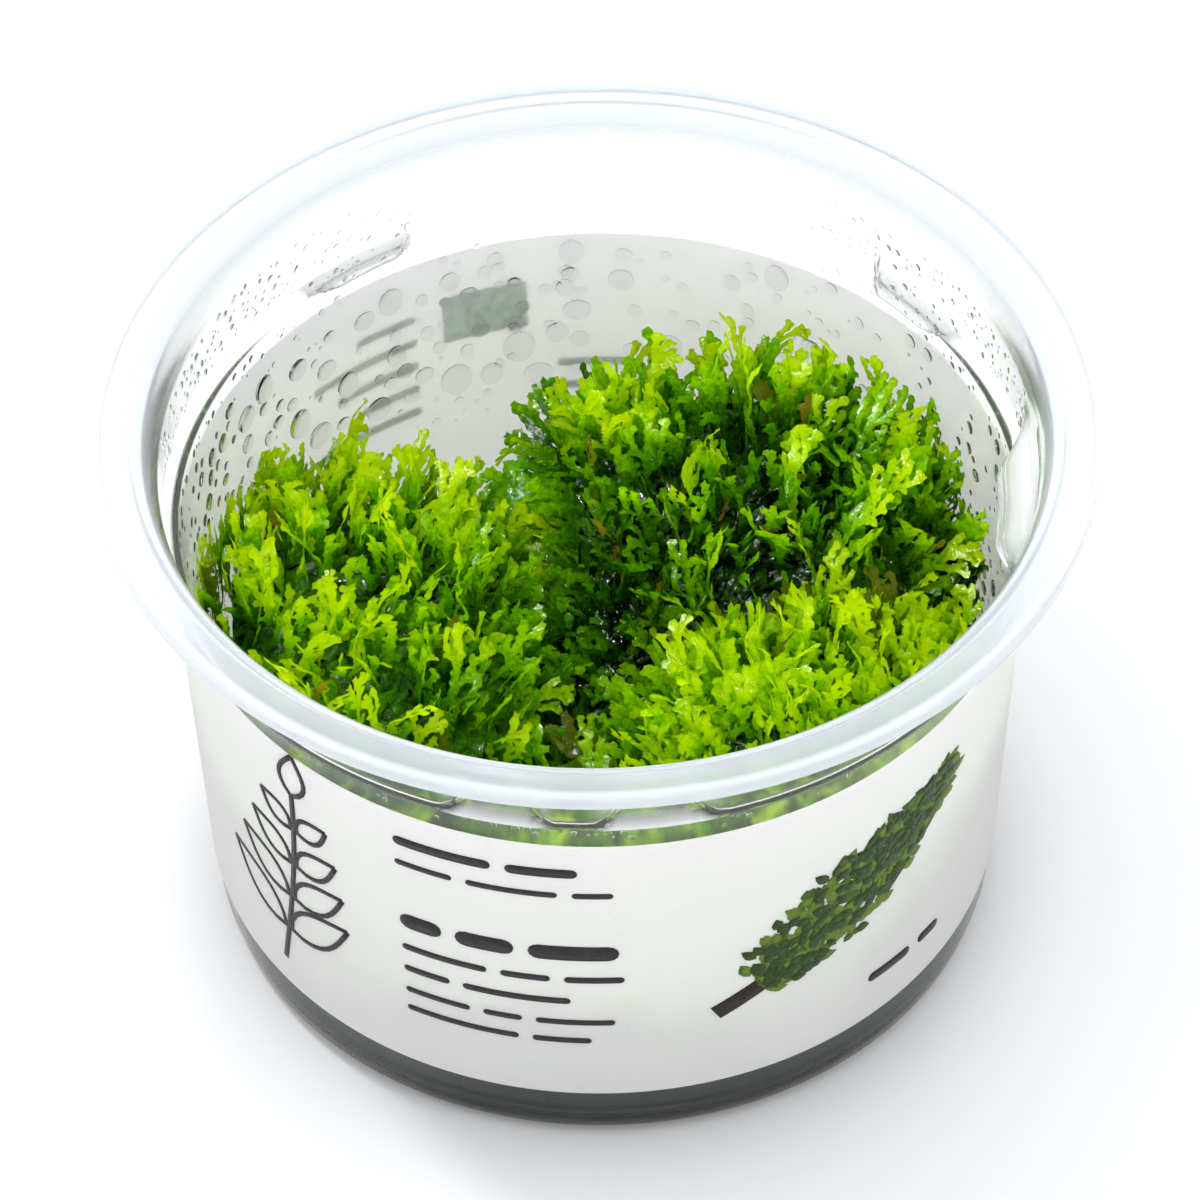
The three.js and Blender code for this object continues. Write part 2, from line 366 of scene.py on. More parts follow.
def thallus_material(name, lightness):
    """Wet thallus tissue. Its growth attribute holds the frond's own shade, how far up the frond a point
    lies with painted shade laid over it, and how far in from the margin."""
    material = plain_material(name, (0.1, 0.3, 0.01), 0.26)
    add, feed, shader = node_tools(material)
    growth = add("ShaderNodeAttribute", attribute_name="growth").outputs["Color"]
    parts = add("ShaderNodeSeparateColor", {"Color": growth}).outputs
    own_shade, rise, inward = parts["Red"], parts["Green"], parts["Blue"]
    place = object_place(add)

    patches = reckon(add, "MULTIPLY_ADD", noise(add, place, 70, 1), PATCH_PART, SHADE_START + lightness)
    spread = reckon(add, "MULTIPLY_ADD", own_shade, OWN_PART, patches)
    # Painted shade: lighter towards the tips and up the mound, darker in the deeper layer and the dark
    # parts; the light tips are partly young growth
    age_and_shade = reckon(add, "MULTIPLY_ADD", rise, RISE_PART, spread)
    cells = reckon(add, "MULTIPLY_ADD", noise(add, place, 2000, 3, 0.6), CELL_PART, age_and_shade)
    old = blend(add, "MIX", reckon(add, "GREATER_THAN", own_shade, AMBER_FROM), OLIVE, AMBER)
    is_old = reckon(add, "GREATER_THAN", own_shade, OLIVE_FROM)
    tissue = blend(add, "MIX", is_old, ramp(add, cells, THALLUS_GREENS), old)
    # Painted shade: darker margins, as on thalli lit from behind
    margin = ramp(add, inward, [(0.0, (0.75, 0.8, 0.7)), (0.4, (1, 1, 1))])
    color = blend(add, "MULTIPLY", 1, tissue, margin)

    # The film of water lies in patches, more of them low on the fronds
    lower = reckon(add, "MULTIPLY_ADD", rise, -0.18, 0.055)
    film = reckon(add, "ADD", noise(add, place, 420, 1), lower)
    feed(shader, {
        "Base Color": color,
        "Specular IOR Level": 0.04,
        "Normal": bumps(add, noise(add, place, 2600), 0.8, 0.0002),
        "Coat Weight": fade(add, film, 0.55, 0.61),
        "Coat IOR": 1.15,
        "Coat Roughness": 0.04,
        "Coat Normal": bumps(add, noise(add, place, 900, 1), 1, 0.0004),
    })
    let_light_through(material, blend(add, "MULTIPLY", 1, color, (1.3, 1.3, 0.4, 1)), 0.38)
    return material


# Mesh helpers, in millimetres

def mesh_from(name, points, faces):
    """A mesh from an array of points and an array, or list, of faces."""
    mesh = bpy.data.meshes.new(name)
    corners = [tuple(point) for point in np.asarray(points, float) * MM]
    mesh.from_pydata(corners, [], [tuple(map(int, face)) for face in faces])
    mesh.shade_smooth()
    return mesh


def add_piece(name, mesh, material, replaces=()):
    piece = bpy.data.objects.new(name, mesh)
    bpy.context.scene.collection.objects.link(piece)
    mesh.materials.append(material)
    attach(piece, "root")
    if replaces:
        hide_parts(*replaces)
    return piece


FILLET_POINTS = 4


def rounded(corners):
    """A profile from (radius, height, fillet) corners, each eased by a curve that starts a fillet away."""
    points = []
    for i, (r, z, fillet) in enumerate(corners):
        corner = np.array((r, z), float)
        if fillet == 0:
            points.append(corner)
            continue
        before = np.array(corners[i - 1][:2], float) - corner
        after = np.array(corners[(i + 1) % len(corners)][:2], float) - corner
        start = corner + before / np.linalg.norm(before) * fillet
        end = corner + after / np.linalg.norm(after) * fillet
        for t in np.linspace(0, 1, FILLET_POINTS):
            points.append((1 - t) ** 2 * start + 2 * t * (1 - t) * corner + t * t * end)
    return points


def turned(name, profile, change=None, closed=False, segments=SEGMENTS):
    """A profile turned about Z. Bearings run from the front towards +X. An end on the axis is a pole."""
    points, rings = [], []
    bearings = np.radians(np.arange(segments) * 360 / segments)
    for r, z in profile:
        if r < 1e-6:
            rings.append([len(points)] * segments)
            points.append((0, 0, z))
            continue
        radii = np.full(segments, float(r))
        if change is not None:
            radii = radii + change(r, (np.degrees(bearings) + 180) % 360 - 180, z)
        rings.append(list(range(len(points), len(points) + segments)))
        points += list(zip(radii * np.sin(bearings), -radii * np.cos(bearings), np.full(segments, z)))
    faces = []
    pairs = list(zip(rings, rings[1:])) + ([(rings[-1], rings[0])] if closed else [])
    for low, high in pairs:
        for i in range(segments):
            j = (i + 1) % segments
            face = [low[i], low[j], high[j], high[i]]
            faces.append([v for k, v in enumerate(face) if v != face[k - 1]])
    mesh = mesh_from(name, points, faces)
    mesh.set_sharp_from_angle(angle=math.radians(40))
    return mesh


# Cup

def lug_step(radius, bearings, height):
    """How far the neck is pressed in at each bearing."""
    if height < NECK_BOTTOM_HEIGHT - 0.1 or height > LUG_TOP:
        return 0
    share = np.zeros_like(bearings)
    for bearing, half in LUGS:
        away = np.abs(bearings - bearing) / half
        share = np.maximum(share, 1 - smoothstep((away - LUG_SIDES[0]) / LUG_SIDES[1]))
    return -LUG_DEPTH * share * np.clip((LUG_TOP - height) / (LUG_TOP - LUG_FOOT), 0, 1) ** 0.8


def cup_profile():
    """The cup's section: up its outside from the middle of the foot, then down its inside."""
    flange_under = CUP_HEIGHT - FLANGE_THICKNESS
    lip_inner = RIM_RADIUS - PLASTIC
    lip_end = CUP_HEIGHT - LIP_HEIGHT
    neck_heights = np.linspace(LUG_FOOT, LUG_TOP, 7)
    neck_slope = (NECK_TOP - NECK_BOTTOM) / (NECK_TOP_HEIGHT - NECK_BOTTOM_HEIGHT)
    corners = [
        (0, FOOT_RECESS, 0),
        (FOOT_INNER - FOOT_RECESS, FOOT_RECESS, 0.4),
        (FOOT_INNER, 0, 0.3),
        (FOOT_OUTER, 0, 0.5),
        (WALL_AT_CORNER - 0.5, 0.6, 2.6),
        (wall_outer(CORNER_TOP), CORNER_TOP, 0),
        (WALL_AT_LEDGE, LEDGE_HEIGHT, 0.4),
        (NECK_BOTTOM, NECK_BOTTOM_HEIGHT, 0.4),
    ]
    corners += [(NECK_BOTTOM + neck_slope * (z - NECK_BOTTOM_HEIGHT), z, 0) for z in neck_heights]
    corners += [
        (NECK_TOP, NECK_TOP_HEIGHT, 0),
        (MOUTH_RADIUS + PLASTIC / 2, flange_under, 0.7),
        (lip_inner, flange_under, 0.25),
        (lip_inner, lip_end, 0.2),
        (RIM_RADIUS, lip_end, 0.25),
        (RIM_RADIUS, CUP_HEIGHT, 0.5),
        (SEAT_INNER, CUP_HEIGHT, 0.2),
        (SEAT_INNER - 0.4, CUP_HEIGHT - 0.4, 0.2),
        (SEAT_INNER - 0.9, CUP_HEIGHT - 0.1, 0.25),
        (MOUTH_RADIUS, CUP_HEIGHT - 1.2, 0.7),
        (NECK_TOP - PLASTIC, NECK_TOP_HEIGHT, 0.5),
    ]
    inner_neck = NECK_BOTTOM - PLASTIC
    corners += [(inner_neck + neck_slope * (z - NECK_BOTTOM_HEIGHT), z, 0) for z in reversed(neck_heights)]
    corners += [
        (inner_neck, NECK_BOTTOM_HEIGHT + PLASTIC / 2, 0.3),
        (wall_inner(LEDGE_HEIGHT), LEDGE_HEIGHT + PLASTIC / 2, 0.4),
        (wall_inner(CORNER_TOP), CORNER_TOP, 0),
        (wall_inner(CORNER_TOP) - 0.4, FLOOR_HEIGHT, 3),
        (0, FLOOR_HEIGHT, 0),
    ]
    return rounded(corners)


HIGHLIT_LUGS = 110  # bearing in degrees up to which the lugs' faces carry a painted highlight
LUG_HIGHLIGHT = (0.2, 0.7)  # at the lugs' feet, and what is added above them
LUG_HIGHLIGHT_SPREAD = 1.6  # a lug's painted highlight is full from 1 / 1.6 of its depth
LEDGE_HIGHLIGHT = 1.4
HIGHLIGHT_RISE = (1.5, 3)  # the lugs' painted highlight grows from the first height above the ledge, over the second
LEDGE_SIDE = (0.6, 0.79)  # a sloping line between the ledge's outer and inner surface


def lug_painted_highlight(points):
    """How milky the cup is at each point, a painted highlight: on the near lugs' faces and the ledge below
    each lug.
    """
    heights = points[:, 2]
    above = heights - LEDGE_HEIGHT
    bearings = np.degrees(np.arctan2(points[:, 0], -points[:, 1]))
    radii = np.hypot(points[:, 0], points[:, 1])
    outside = above < LEDGE_SIDE[0] + LEDGE_SIDE[1] * (radii - WALL_AT_LEDGE)
    ledge = (above > -0.2) & (above < LEDGE_RISE + 0.1) & outside
    lug = np.minimum(1, -LUG_HIGHLIGHT_SPREAD * lug_step(0, bearings, LUG_FOOT) / LUG_DEPTH)
    pressed = (heights > NECK_BOTTOM_HEIGHT) & (heights < LUG_TOP) & (np.abs(bearings) < HIGHLIT_LUGS)
    face = pressed * (LUG_HIGHLIGHT[0] + LUG_HIGHLIGHT[1] * smoothstep((above - HIGHLIGHT_RISE[0]) / HIGHLIGHT_RISE[1]))
    return lug * np.maximum(face, LEDGE_HIGHLIGHT * ledge)


def add_cup():
    mesh = turned("cup_fine", cup_profile(), lug_step)
    points = np.array([v.co for v in mesh.vertices]) / MM
    # the painted highlight on the near lugs and the ledge
    mesh.attributes.new("painted_highlight", "FLOAT", "POINT").data.foreach_set("value", lug_painted_highlight(points))
    return add_piece("cup_fine", mesh, clear_plastic(), ["cup"])


# Label and its print

def label_outer(height):
    return wall_outer(height) + LABEL_GAP + LABEL_THICKNESS


def add_label():
    """One sheet round the wall, thicker where its end is lapped."""
    heights = np.linspace(LABEL_BOTTOM, LABEL_TOP, 5)
    profile = [(label_outer(z), z) for z in heights]
    profile += [(wall_outer(z) + LABEL_GAP, z) for z in reversed(heights)]

    def lap(radius, bearings, height):
        outside = radius > wall_outer(height) + LABEL_GAP + LABEL_THICKNESS / 2
        lapped = (bearings > LABEL_SEAM) & (bearings < LABEL_SEAM + LABEL_LAP)
        return LABEL_THICKNESS * lapped * outside

    mesh = turned("label_fine", profile, lap, closed=True)
    return add_piece("label_fine", mesh, label_film(), ["label"])


def on_label(along, up, lift):
    """Points on the label from the distance along it from the front, the height up it and the lift."""
    height = LABEL_BOTTOM + up
    bearing = along / LABEL_GIRTH_RADIUS
    radius = label_outer(height) + lift
    return np.stack([radius * np.sin(bearing), -radius * np.cos(bearing), height], axis=-1)


def filled(outline, spacing):
    """Triangles that fill a closed outline, with its sides and inside split to a spacing."""
    points = []
    for a, b in zip(outline, np.roll(outline, -1, axis=0)):
        parts = max(1, int(np.ceil(np.linalg.norm(b - a) / spacing)))
        points += [a + (b - a) * k / parts for k in range(parts)]
    edges = [(k, (k + 1) % len(points)) for k in range(len(points))]
    ring = np.array(points)
    low, high = ring.min(0), ring.max(0)
    for x in np.arange(low[0] + spacing / 2, high[0], spacing):
        for y in np.arange(low[1] + spacing / 2, high[1], spacing):
            if np.min(np.abs(ring - (x, y)).sum(1)) > spacing * 0.5:
                points.append(np.array((x, y)))
    result = geometry.delaunay_2d_cdt([Vector(p) for p in points], edges, [], 1, 1e-5)
    return np.array([tuple(v) for v in result[0]]), [tuple(f) for f in result[2]]


def open_edges(triangles):
    """The directed edges that only one triangle has."""
    directed = {(t[k], t[(k + 1) % 3]) for t in triangles for k in range(3)}
    return [(a, b) for a, b in directed if (b, a) not in directed]


INK_TOP = 0.05  # how far a print stands out of the label, and its underside lies in it
INK_BOTTOM = -0.05
PRINT_SPACING = 1.5  # between the points of a print, so that it follows the curve
LABEL_GIRTH_RADIUS = label_outer((LABEL_BOTTOM + LABEL_TOP) / 2)


def add_print(name, outlines, material, lift=INK_TOP):
    """Shapes printed on the label: closed, paper-thin solids that follow its curve."""
    points, faces = [], []
    for outline in outlines:
        flat, triangles = filled(np.array(outline, float), PRINT_SPACING)
        count = len(flat)
        start = sum(len(p) for p in points)
        points.append(on_label(flat[:, 0], flat[:, 1], lift))
        points.append(on_label(flat[:, 0], flat[:, 1], INK_BOTTOM))
        faces += [(a + start, b + start, c + start) for a, b, c in triangles]
        faces += [(a + start + count, c + start + count, b + start + count) for a, b, c in triangles]
        for a, b in open_edges(triangles):
            faces.append((b + start, a + start, a + start + count, b + start + count))
    mesh = mesh_from(name, np.concatenate(points), faces)
    return add_piece(name, mesh, material)


def stroke(path, width):
    """The outline of an open stroke of even width along a path."""
    path = np.array(path, float)
    step = np.gradient(path, axis=0)
    step /= np.linalg.norm(step, axis=1)[:, None]
    side = np.stack([-step[:, 1], step[:, 0]], axis=1) * width / 2
    return np.concatenate([path - side, (path + side)[::-1]])


def bar(x, y, length, height):
    """A round-ended bar from its left end and its middle line."""
    end = height / 2
    turn = np.radians(np.linspace(-90, 90, 7))
    right = [(x + length - end + end * math.cos(a), y + end * math.sin(a)) for a in turn]
    left = [(x + end - end * math.cos(a), y - end * math.sin(a)) for a in turn]
    return right + left


def leaf(x, y, length, width, angle, steps):
    """A pointed leaf from its base, leaning by an angle from upright."""
    t = np.linspace(0, 1, steps)
    half = width / 2 * np.sin(np.pi * t ** 0.8)
    along = np.concatenate([t, t[-2:0:-1]]) * length
    across = np.concatenate([half, -half[-2:0:-1]])
    c, s = math.cos(angle), math.sin(angle)
    return np.stack([x + along * s + across * c, y + along * c - across * s], axis=1)


LEAF_LINE = 0.6
LEAF_STEPS = 9


def leaf_sides(x, y, length, width, angle):
    """The two edges of a leaf as strokes, for a line drawing."""
    outline = leaf(x, y, length, width, angle, LEAF_STEPS)
    right = outline[:LEAF_STEPS]
    left = np.vstack([outline[:1], outline[:LEAF_STEPS - 2:-1]])
    return [stroke(right, LEAF_LINE), stroke(left, LEAF_LINE)]


# What is printed where, in millimetres along the label from the front and up it

STEM_FOOT = (-38, 4)
STEM_HEIGHT = 29
STEM_LEAN = 4.5
STEM_LINE = 0.7
LEAFLETS = (0.25, 0.45, 0.65, 0.83)  # how far up the stem each pair leaves it
LEAFLET_LENGTH = 10.5
LEAFLET_WIDTH = 4.4
LEAFLET_LEAN = 0.95
LEAFLET_SHRINK = (1.8, 0.5)  # in length and width, from each pair to the next
END_LEAFLET = (6.5, 3.4, 0.1)  # length, width and lean
BARS_FROM = -21.0
BAR_GAP = 1.4
BAR_ROWS = [  # how far up, the bars' height and their lengths
    (35, 1.3, (10, 7)),
    (31.6, 0.8, (6, 9, 4)),
    (22.5, 2.2, (4.5, 6, 9)),
    (18.3, 0.9, (9, 5, 6)),
    (14.9, 0.9, (5, 11)),
    (11.5, 0.8, (7, 4, 8)),
    (8.6, 0.8, (12, 6)),
]
BRANCH_FOOT = (11, 11)
BRANCH_REACH = (29, 16)
BRANCH_ARCH = 3
BRANCH_ACROSS = (-0.52, 0.85)
BRANCH_WIDTH = 2.2
TWIG_FOOT = (30, 18.5)
TWIG_REACH = 10
TWIG_WIDTH = 1
STEMS_TOP = 0.04
SPRAY_TOPS = (0.05, 0.065, 0.08)  # the leaves lie over the stems, and each tone over the one before
SPRAY_LEAVES = 600
GOLDEN_STEP = 0.6180  # spreads the leaves evenly along the branch
SPRAY_HALF = 6.6  # the greatest half width of the spray
SHORT_BARS = [(29, 6.2, 6, 1.3), (36.4, 6.2, 3.4, 1.3)]
PANEL_CORNER = (7, 27.5)  # on the back, whose places run from the middle of the back
PANEL_SIZE = (9, 6)
UPPER_LINES = (19, 32)
LOWER_LINES = (-4, 22)
LINE_SPACING = 3.1


def print_leaf(material):
    """The left panel: a line-drawn pinnate leaf."""
    t = np.linspace(0, 1, 16)
    stem = np.stack([STEM_FOOT[0] + STEM_LEAN * np.sin(1.5 * t), STEM_FOOT[1] + STEM_HEIGHT * t], axis=1)
    shapes = [stroke(stem, STEM_LINE)]
    for k, share in enumerate(LEAFLETS):
        x, y = stem[int(share * 15)]
        length, width = LEAFLET_LENGTH - LEAFLET_SHRINK[0] * k, LEAFLET_WIDTH - LEAFLET_SHRINK[1] * k
        for side in (-1, 1):
            shapes += leaf_sides(x + 0.4 * side, y, length, width, side * LEAFLET_LEAN)
    shapes += leaf_sides(stem[-1][0], stem[-1][1] - 0.3, *END_LEAFLET)
    add_print("print_leaf", shapes, material)


def print_bars(material):
    """The middle panel: plain ruled bars in place of words."""
    bars = []
    for up, height, lengths in BAR_ROWS:
        along = BARS_FROM
        for length in lengths:
            bars.append(bar(along, up, length, height))
            along += length + BAR_GAP
    add_print("print_bars", bars, material)


def branch_at(share):
    """A place on the branch's middle line."""
    x = BRANCH_FOOT[0] + BRANCH_REACH[0] * share
    y = BRANCH_FOOT[1] + BRANCH_REACH[1] * share + BRANCH_ARCH * share * share
    return np.stack([x, y], axis=-1)


def print_spray(greens, brown):
    """The right panel: a dense spray of small oval leaves along a branch."""
    rng = np.random.default_rng(9)
    t = np.linspace(0, 1, 18)
    branch = branch_at(t)
    twig = np.stack([TWIG_FOOT[0] + TWIG_REACH * t, TWIG_FOOT[1] + TWIG_REACH * t], axis=1)
    stems = [stroke(branch[:15], BRANCH_WIDTH)]
    stems += [stroke(path, TWIG_WIDTH) for path in (branch[8:], twig[:14])]
    add_print("print_spray_stems", stems, brown, STEMS_TOP)
    sprays = [[], [], []]
    for k in range(SPRAY_LEAVES):
        share = 0.16 + 0.84 * (GOLDEN_STEP * k % 1)
        half = SPRAY_HALF * math.sin(math.pi * (share - 0.1) ** 0.75) + 0.4
        place = branch_at(share) + rng.uniform(-0.6, 1) * half * np.array(BRANCH_ACROSS)
        angle = rng.uniform(-1.2, 2.0)
        shape = leaf(*place, rng.uniform(1.5, 2.3), rng.uniform(1.0, 1.4), angle, 5)
        sprays[rng.integers(3)].append(shape)
    for k, (shapes, material, top) in enumerate(zip(sprays, greens, SPRAY_TOPS)):
        add_print(f"print_spray_{k}", shapes, material, top)


def print_back(material):
    """The back: a plain grey panel and short ruled lines."""
    back = math.pi * LABEL_GIRTH_RADIUS
    left, low = back + PANEL_CORNER[0], PANEL_CORNER[1]
    right, high = left + PANEL_SIZE[0], low + PANEL_SIZE[1]
    shapes = [[(left, low), (right, low), (right, high), (left, high)]]
    for (along, up), lengths in ((UPPER_LINES, (7, 13, 10, 7, 13)), (LOWER_LINES, (8, 10, 8))):
        for k, length in enumerate(lengths):
            shapes.append(bar(back + along, up - LINE_SPACING * k, length, 1.0))
    add_print("print_panel", shapes, material)


def add_label_print():
    charcoal = ink("ink_charcoal", (0.028, 0.025, 0.027))
    grey = ink("ink_grey", (0.77, 0.82, 0.8), 0.6)
    green_tones = [(0.05, 0.105, 0.006), (0.1, 0.18, 0.008), (0.022, 0.05, 0.005)]
    greens = [ink(f"ink_green_{k}", c, 0.08) for k, c in enumerate(green_tones)]
    brown = ink("ink_brown", (0.022, 0.016, 0.01))
    print_leaf(charcoal)
    print_bars(charcoal)
    print_spray(greens, brown)
    add_print("print_code", [bar(*place) for place in SHORT_BARS], charcoal)
    print_back(grey)


# Gel

GEL_PRESS = 0.05  # the gel lies against the wall without an air gap
GEL_EDGE = 1.5  # how wide the gel's raised edge is
GEL_EDGE_DIP = 0.35
GEL_DIP = 0.1
GEL_MIDDLE = 22


def add_gel():
    bottom = FLOOR_HEIGHT - GEL_PRESS
    corners = [
        (0, bottom, 0),
        (wall_inner(CORNER_TOP) - 0.4 + GEL_PRESS, bottom, 3),
        (wall_inner(CORNER_TOP) + GEL_PRESS, CORNER_TOP, 0),
        (wall_inner(GEL_TOP) + GEL_PRESS, GEL_TOP, 0.1),
        (wall_inner(GEL_TOP) - GEL_EDGE, GEL_TOP - GEL_EDGE_DIP, 0.5),
        (GEL_MIDDLE, GEL_TOP - GEL_DIP, 2),
        (0, GEL_TOP - GEL_DIP, 0),
    ]
    mesh = turned("gel_fine", rounded(corners), segments=120)
    return add_piece("gel_fine", mesh, painted_shade_gel(), ["nutrient_gel"])


# Thallus templates

STEP = 0.5  # spacing of outline points along a strap
CHANNEL = 0.16  # how far the middle of a strap is raised
TOOTH = 0.24  # how far the teeth of a strap's margin stand out, as a share of its half width
LONGEST_BRANCH = 5.2
OUTLINE_LIMIT = 240  # points in a template's outline


def strap(rng, start, heading, length, width, order, curl):
    """The outline of a branching strap, from the left of its root round to the right, and points along its
    middle."""
    steps = max(2, round(length / STEP))
    left, right, spine = [], [], []
    place = np.array(start, float)
    side = rng.choice((-1, 1))
    wait = rng.integers(4, 9) if order == 0 else 2
    for i in range(steps + 1):
        t = i / steps
        room = length * (1 - t)
        ahead = np.array((math.sin(heading), math.cos(heading)))
        across = np.array((-ahead[1], ahead[0]))
        half = 0.5 * width * (0.72 + 0.4 * t)
        branching = wait <= 0 and order < 2 and room > (0.5 if order == 0 else 0.3)
        tooth = 1 + TOOTH * (-1) ** i
        for hand, margin in ((-1, left), (1, right)):
            if branching and hand == side:
                turn = hand * rng.uniform(0.5, 0.8)
                if order == 0:
                    reach = rng.uniform(0.55, 0.95) * min(room + 0.8, LONGEST_BRANCH)
                else:
                    reach = rng.uniform(0.4, 0.9)
                base = place - hand * across * half * 0.5
                girth = width * rng.uniform(0.75, 0.95)
                loop, inner = strap(rng, base, heading + turn, reach, girth, order + 1, -turn * 0.14)
                margin += loop[::-hand]
                spine += inner
            else:
                margin.append(place - hand * across * half * tooth * rng.uniform(0.8, 1.2))
        if branching:
            side = -side if rng.random() < 0.8 else side
            wait = rng.integers(3, 6)
        if 0 < i < steps:
            spine.append(place.copy())
        wait -= 1
        end = place
        place = place + ahead * length / steps
        heading += curl + rng.uniform(-0.12, 0.12)
    lobe = rng.uniform(0.8, 1.3)
    notch = rng.uniform(0.75, 1.2)
    corners = ((0.7, 1), (0, notch), (-0.7, 1))
    tip = [end + half * (ahead * lobe * far + across * wide) for wide, far in corners]
    return left + tip + right[::-1], spine


def windings(outline, places):
    """How often a closed outline runs round each place."""
    to_corners = outline[None, :, :] - places[:, None, :]
    angles = np.arctan2(to_corners[..., 1], to_corners[..., 0])
    turns = np.diff(np.concatenate([angles, angles[:, :1]], axis=1), axis=1)
    return np.round(((turns + np.pi) % (2 * np.pi) - np.pi).sum(axis=1) / (2 * np.pi))


def thallus(rng, lengths, widths, order=0):
    """A template: its points across, along and through the thallus, its triangles, and for each point a 1
    where it lies off the margin."""
    outline = []
    while not 0 < len(outline) <= OUTLINE_LIMIT:
        length, width = rng.uniform(*lengths), rng.uniform(*widths)
        outline, spine = strap(rng, (0, 0), 0.0, length, width, order, rng.normal(0, 0.02))
    points = [Vector(p) for p in outline + spine]
    loop = [(k, (k + 1) % len(outline)) for k in range(len(outline))]
    flat, _, faces, _, _, _ = geometry.delaunay_2d_cdt(points, loop, [], 0, 1e-3)
    flat = np.array([tuple(p) for p in flat])
    faces = np.array([f for f in faces if len(f) == 3])
    faces = faces[windings(np.array(outline), flat[faces].mean(axis=1)) != 0]
    used, faces = np.unique(faces, return_inverse=True)
    flat, faces = flat[used], faces.reshape(-1, 3)
    margin = {v for edge in open_edges(faces.tolist()) for v in edge}
    inside = np.array([float(k not in margin) for k in range(len(flat))])
    return np.column_stack([flat, inside * CHANNEL]), faces, inside


def grown(points, rng):
    """A copy of a template's points, crisped, cupped, twisted and bent."""
    u, v, w = points.T
    phase = rng.uniform(0, 6.28, 3)
    crisp = 0.16 * np.sin(1.3 * v + phase[0]) * np.abs(u) ** 0.8 + 0.12 * np.sin(2.2 * u + phase[1])
    w = w + crisp + rng.uniform(-0.02, 0.06) * u * u
    twist = rng.uniform(-0.07, 0.07) * v
    x = u * np.cos(twist) - w * np.sin(twist)
    w = u * np.sin(twist) + w * np.cos(twist)
    bend = rng.uniform(0.005, 0.06) * (1 if rng.random() < 0.7 else -1)
    angle = bend * v
    y = np.sin(angle) / bend - w * np.sin(angle)
    z = (1 - np.cos(angle)) / bend + w * np.cos(angle)
    return np.stack([x, y, z], axis=1)


# Clumps: mounds that each keep to a wedge round the hollow where they meet

CLUMPS = [  # a wedge runs from one angle to another about the hollow, in degrees from +X
    {
        "name": "clump_left", "at": (-29, 5.5), "radius": (24.5, 25), "top": 34,
        "wedge": (101, 238), "seed": 11, "lightness": 0.18,
    },
    {
        "name": "clump_back", "at": (14, 19), "radius": (28, 21), "top": 38,
        "wedge": (8, 101), "seed": 23, "lightness": 0.08,
    },
    {
        "name": "clump_right", "at": (21, -7), "radius": (20, 18), "top": 31.5,
        "wedge": (-78, 8), "seed": 37, "lightness": 0.27,
    },
    {
        "name": "clump_front", "at": (-3, -23), "radius": (16, 17), "top": 19,
        "wedge": (238, 282), "seed": 41, "lightness": 0.08,
    },
]
MOUND_POWER = 0.6  # the lower, the flatter a mound's top
HOLLOW = (1, 4)  # where the clumps meet
SCOOP = (5, 8)  # the middle of the sunken part
SCOOP_RADIUS = 9
SCOOP_DEPTH = 8
PAINTED_SHADE_PARTS = [  # painted shade: place, radius and lightness lost
    (5, 8, 13.5, 0.52),
    (-6, 7, 9, 0.35),
    (27, 21, 12, 0.35),
    (-9, -6, 9, 0.3),
]
# The deeper layer's lower brightness is painted shade.
LAYERS = [  # of fronds: triangles in each clump, sizes, how deep the roots lie, and brightness
    (110000, (0.85, 1.15), (3.0, 7.5), 1.0),
    (72000, (0.8, 1.3), (-0.5, 3.0), 0.65),
]
SPREAD = (0.7549, 0.5698)  # steps that spread the fronds evenly
CORE_SHRINK = 2.2  # how far the core's top lies under the mound's
CORE_RADIUS = 38  # how far from the cup's axis the core reaches
SEEN_FROM = (0, -0.69, 0.72)  # the clumps are denser on the side that the photo shows
FACING = 0.9  # how strongly the fronds turn their flat side that way
SIDE_SHARE = 0.2  # of the fronds, those on the sides that the clump turns to its neighbours
KEPT = (0.72, 0.42)  # the share of fronds kept, and how far it rises towards the side seen
LEAN_SPREAD = 0.14
TURN_SPREAD = 0.8
MOUND_SHADE = (0.55, 0.45)  # painted shade: lightness at the foot of a mound, and what is added up to its top


def scooped(x, y, z):
    """A mound's height at a place, less the sunken middle of the cup."""
    away = math.hypot(x - SCOOP[0], y - SCOOP[1]) / SCOOP_RADIUS
    return max(z - SCOOP_DEPTH * math.exp(-away * away), GEL_TOP)


def on_mound(clump, direction):
    x = clump["at"][0] + clump["radius"][0] * direction[0]
    y = clump["at"][1] + clump["radius"][1] * direction[1]
    z = CLUMP_BASE + (clump["top"] - CLUMP_BASE) * direction[2] ** MOUND_POWER
    return np.array((x, y, scooped(x, y, z)))


def kept_inside(points, gap=0.5):
    """Points pressed back to a gap inside the cup's wall and above the gel."""
    radius = np.hypot(points[:, 0], points[:, 1])
    limit = np.minimum(wall_inner(points[:, 2]), NECK_BOTTOM - PLASTIC - LUG_DEPTH) - gap
    limit = np.where(points[:, 2] < LEDGE_HEIGHT - 2, wall_inner(points[:, 2]) - gap, limit)
    scale = np.minimum(1, limit / np.maximum(radius, 1e-6))
    heights = np.maximum(points[:, 2], GEL_TOP + 0.1)
    return np.column_stack([points[:, 0] * scale, points[:, 1] * scale, heights])


def in_wedge(clump, x, y):
    bearing = math.degrees(math.atan2(y - HOLLOW[1], x - HOLLOW[0]))
    low, high = clump["wedge"]
    return 0 <= (bearing - low) % 360 <= high - low


